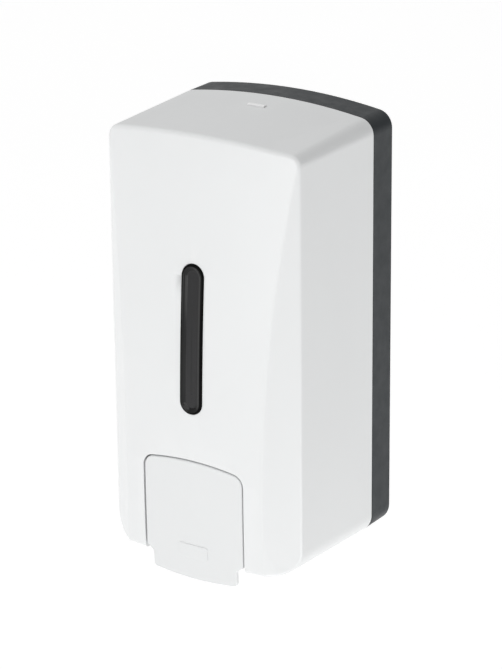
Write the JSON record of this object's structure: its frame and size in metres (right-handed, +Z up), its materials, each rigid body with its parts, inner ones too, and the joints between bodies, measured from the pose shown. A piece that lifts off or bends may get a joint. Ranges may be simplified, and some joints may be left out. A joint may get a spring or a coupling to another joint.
{
  "type": "wall mounted soap dispenser",
  "caption": "Push-lever liquid soap dispenser with a hinged white cover over a dark wall plate, a sight window, a refillable tank and a piston pump.",
  "frame": {"origin": "The middle of the four wall screws, on the wall face of the wall plate.", "axes": "+Z is up, -Y is out from the wall toward the user, +X is to the right for someone facing the dispenser."},
  "size_m": [0.1244, 0.1065, 0.2552],
  "materials": {
    "cover_white": "white injection-moulded ABS, semi-gloss",
    "lever_white": "white injection-moulded ABS, semi-gloss",
    "button_white": "white acetal, satin",
    "plate_grey": "dark grey ABS, fine texture",
    "window_smoke": "smoked polycarbonate, polished",
    "tank_natural": "natural translucent polyethylene",
    "lid_white": "white polypropylene",
    "fitting_grey": "mid-grey polypropylene",
    "pump_white": "off-white acetal",
    "seal_rubber": "black nitrile and silicone rubber",
    "steel": "stainless steel"
  },
  "bodies": {
    "base": {"wall_plate": "plate_grey", "hinge_pins": "steel", "soap_tank": "tank_natural", "lid_seal": "seal_rubber", "lid_pin": "steel", "tank_gasket": "seal_rubber", "tank_nut": "fitting_grey", "neck_seal": "seal_rubber", "pump_body": "pump_white", "pump_screws": "steel", "valve_seat": "pump_white", "barrel_cap": "fitting_grey", "outlet_valve": "seal_rubber", "nozzle": "fitting_grey"},
    "cover": {"front_cover": "cover_white", "sight_window": "window_smoke", "lever_pin": "steel", "latch_guide": "plate_grey", "latch_screws": "steel"},
    "lever": {"push_lever": "lever_white"},
    "plunger": {"plunger": "pump_white", "piston_seal": "seal_rubber", "plunger_spring": "steel"},
    "latch": {"latch_slider": "button_white", "latch_spring": "steel"},
    "lid": {"filler_lid": "lid_white"},
    "ball": {"inlet_ball": "steel"}
  },
  "joints": [
    {"name": "cover_hinge", "type": "hinge", "parent": "base", "child": "cover", "pos_m": [0, -0.0192, -0.125], "axis": [1, 0, 0], "range_deg": [0, 90]},
    {"name": "lever_press", "type": "hinge", "parent": "cover", "child": "lever", "pos_m": [0, -0.095, -0.071], "axis": [1, 0, 0], "range_deg": [0, 14], "stiffness_Nm_per_rad": 0.6, "springref_deg": -8.59},
    {"name": "plunger_slide", "type": "slide", "parent": "base", "child": "plunger", "axis": [0, 1, 0], "range_m": [0, 0.0098], "deforming": ["plunger_spring"]},
    {"name": "latch_press", "type": "slide", "parent": "cover", "child": "latch", "axis": [0, 0, -1], "range_m": [0, 0.003], "stiffness_N_per_m": 500, "springref_m": -0.003, "deforming": ["latch_spring"]},
    {"name": "lid_open", "type": "hinge", "parent": "base", "child": "lid", "pos_m": [0, -0.02, 0.081], "axis": [-1, 0, 0], "range_deg": [0, 63]},
    {"name": "ball_lift", "type": "slide", "parent": "base", "child": "ball", "axis": [0, 0, 1], "range_m": [0, 0.0015]}
  ],
  "couplings": [
    {"joint": "plunger_slide", "follows": "lever_press", "m_per_rad": 0.04},
    {"joint": "lid_open", "follows": "cover_hinge", "ratio": 0.7}
  ]
}
